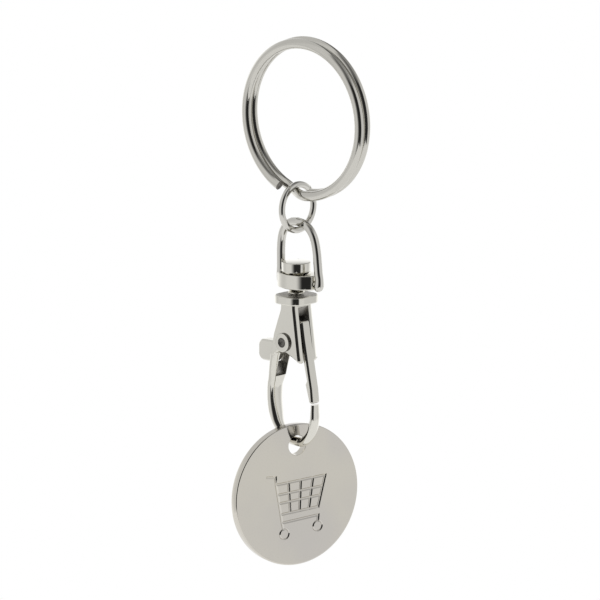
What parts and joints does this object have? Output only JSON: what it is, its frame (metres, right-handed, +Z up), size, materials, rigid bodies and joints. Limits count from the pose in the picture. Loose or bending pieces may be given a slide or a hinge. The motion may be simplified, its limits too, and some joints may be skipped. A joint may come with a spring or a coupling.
{
  "type": "coin holder keyring",
  "caption": "Metal key ring with a jump ring, a swivel trigger hook and a round holed trolley token hanging from it.",
  "frame": {"origin": "the point the keyring hangs from: the inner top of the split ring, above the swivel's axis", "axes": "+Z up along the hanging chain, +X in the plane of the hook towards its gate, +Y from the front to the back"},
  "size_m": [0.026, 0.0228, 0.086],
  "materials": {
    "ring_wire": "polished nickel plate on steel wire",
    "link_wire": "polished nickel plate on steel wire",
    "swivel_metal": "polished nickel plate on turned metal",
    "hook_metal": "polished nickel plate on a die casting",
    "rivet_metal": "polished nickel plate",
    "spring_steel": "plain spring steel leaf",
    "coin_metal": "bright nickel plate on a stamped disc"
  },
  "bodies": {
    "ring": {"split_ring": "ring_wire"},
    "link": {"jump_ring": "link_wire"},
    "bow": {"bail": "link_wire"},
    "collar": {"swivel_collar": "swivel_metal"},
    "hook": {"hook_body": "hook_metal", "swivel_rivet": "swivel_metal", "gate_rivet": "rivet_metal", "gate_spring": "spring_steel"},
    "gate": {"gate_lever": "hook_metal"},
    "token": {"coin": "coin_metal"}
  },
  "joints": [
    {"name": "jump_ring_swing", "type": "hinge", "parent": "ring", "child": "link", "pos_m": [0.0003, 0, -0.02353], "axis": [1, 0, 0], "range_deg": [-120, 120]},
    {"name": "bail_swing", "type": "hinge", "parent": "link", "child": "bow", "pos_m": [0.0003, 0, -0.02954], "axis": [0, 1, 0], "range_deg": [-75, 75]},
    {"name": "bail_pivot", "type": "hinge", "parent": "bow", "child": "collar", "pos_m": [0, 0, -0.03779], "axis": [-1, 0, 0], "range_deg": [-120, 120]},
    {"name": "swivel", "type": "hinge", "parent": "collar", "child": "hook", "pos_m": [0, 0, -0.03779], "axis": [0, 0, 1], "continuous": true},
    {"name": "gate_pivot", "type": "hinge", "parent": "hook", "child": "gate", "pos_m": [-0.0009, 0, -0.04767], "axis": [0, 1, 0], "range_deg": [0, 22], "stiffness_Nm_per_rad": 0.01, "springref_deg": -11.46, "deforming": ["gate_spring"]},
    {"name": "coin_swing", "type": "hinge", "parent": "hook", "child": "token", "pos_m": [-0.00033, 0, -0.06414], "axis": [0.9677, -0.2521, 0], "range_deg": [-65, 65]}
  ]
}
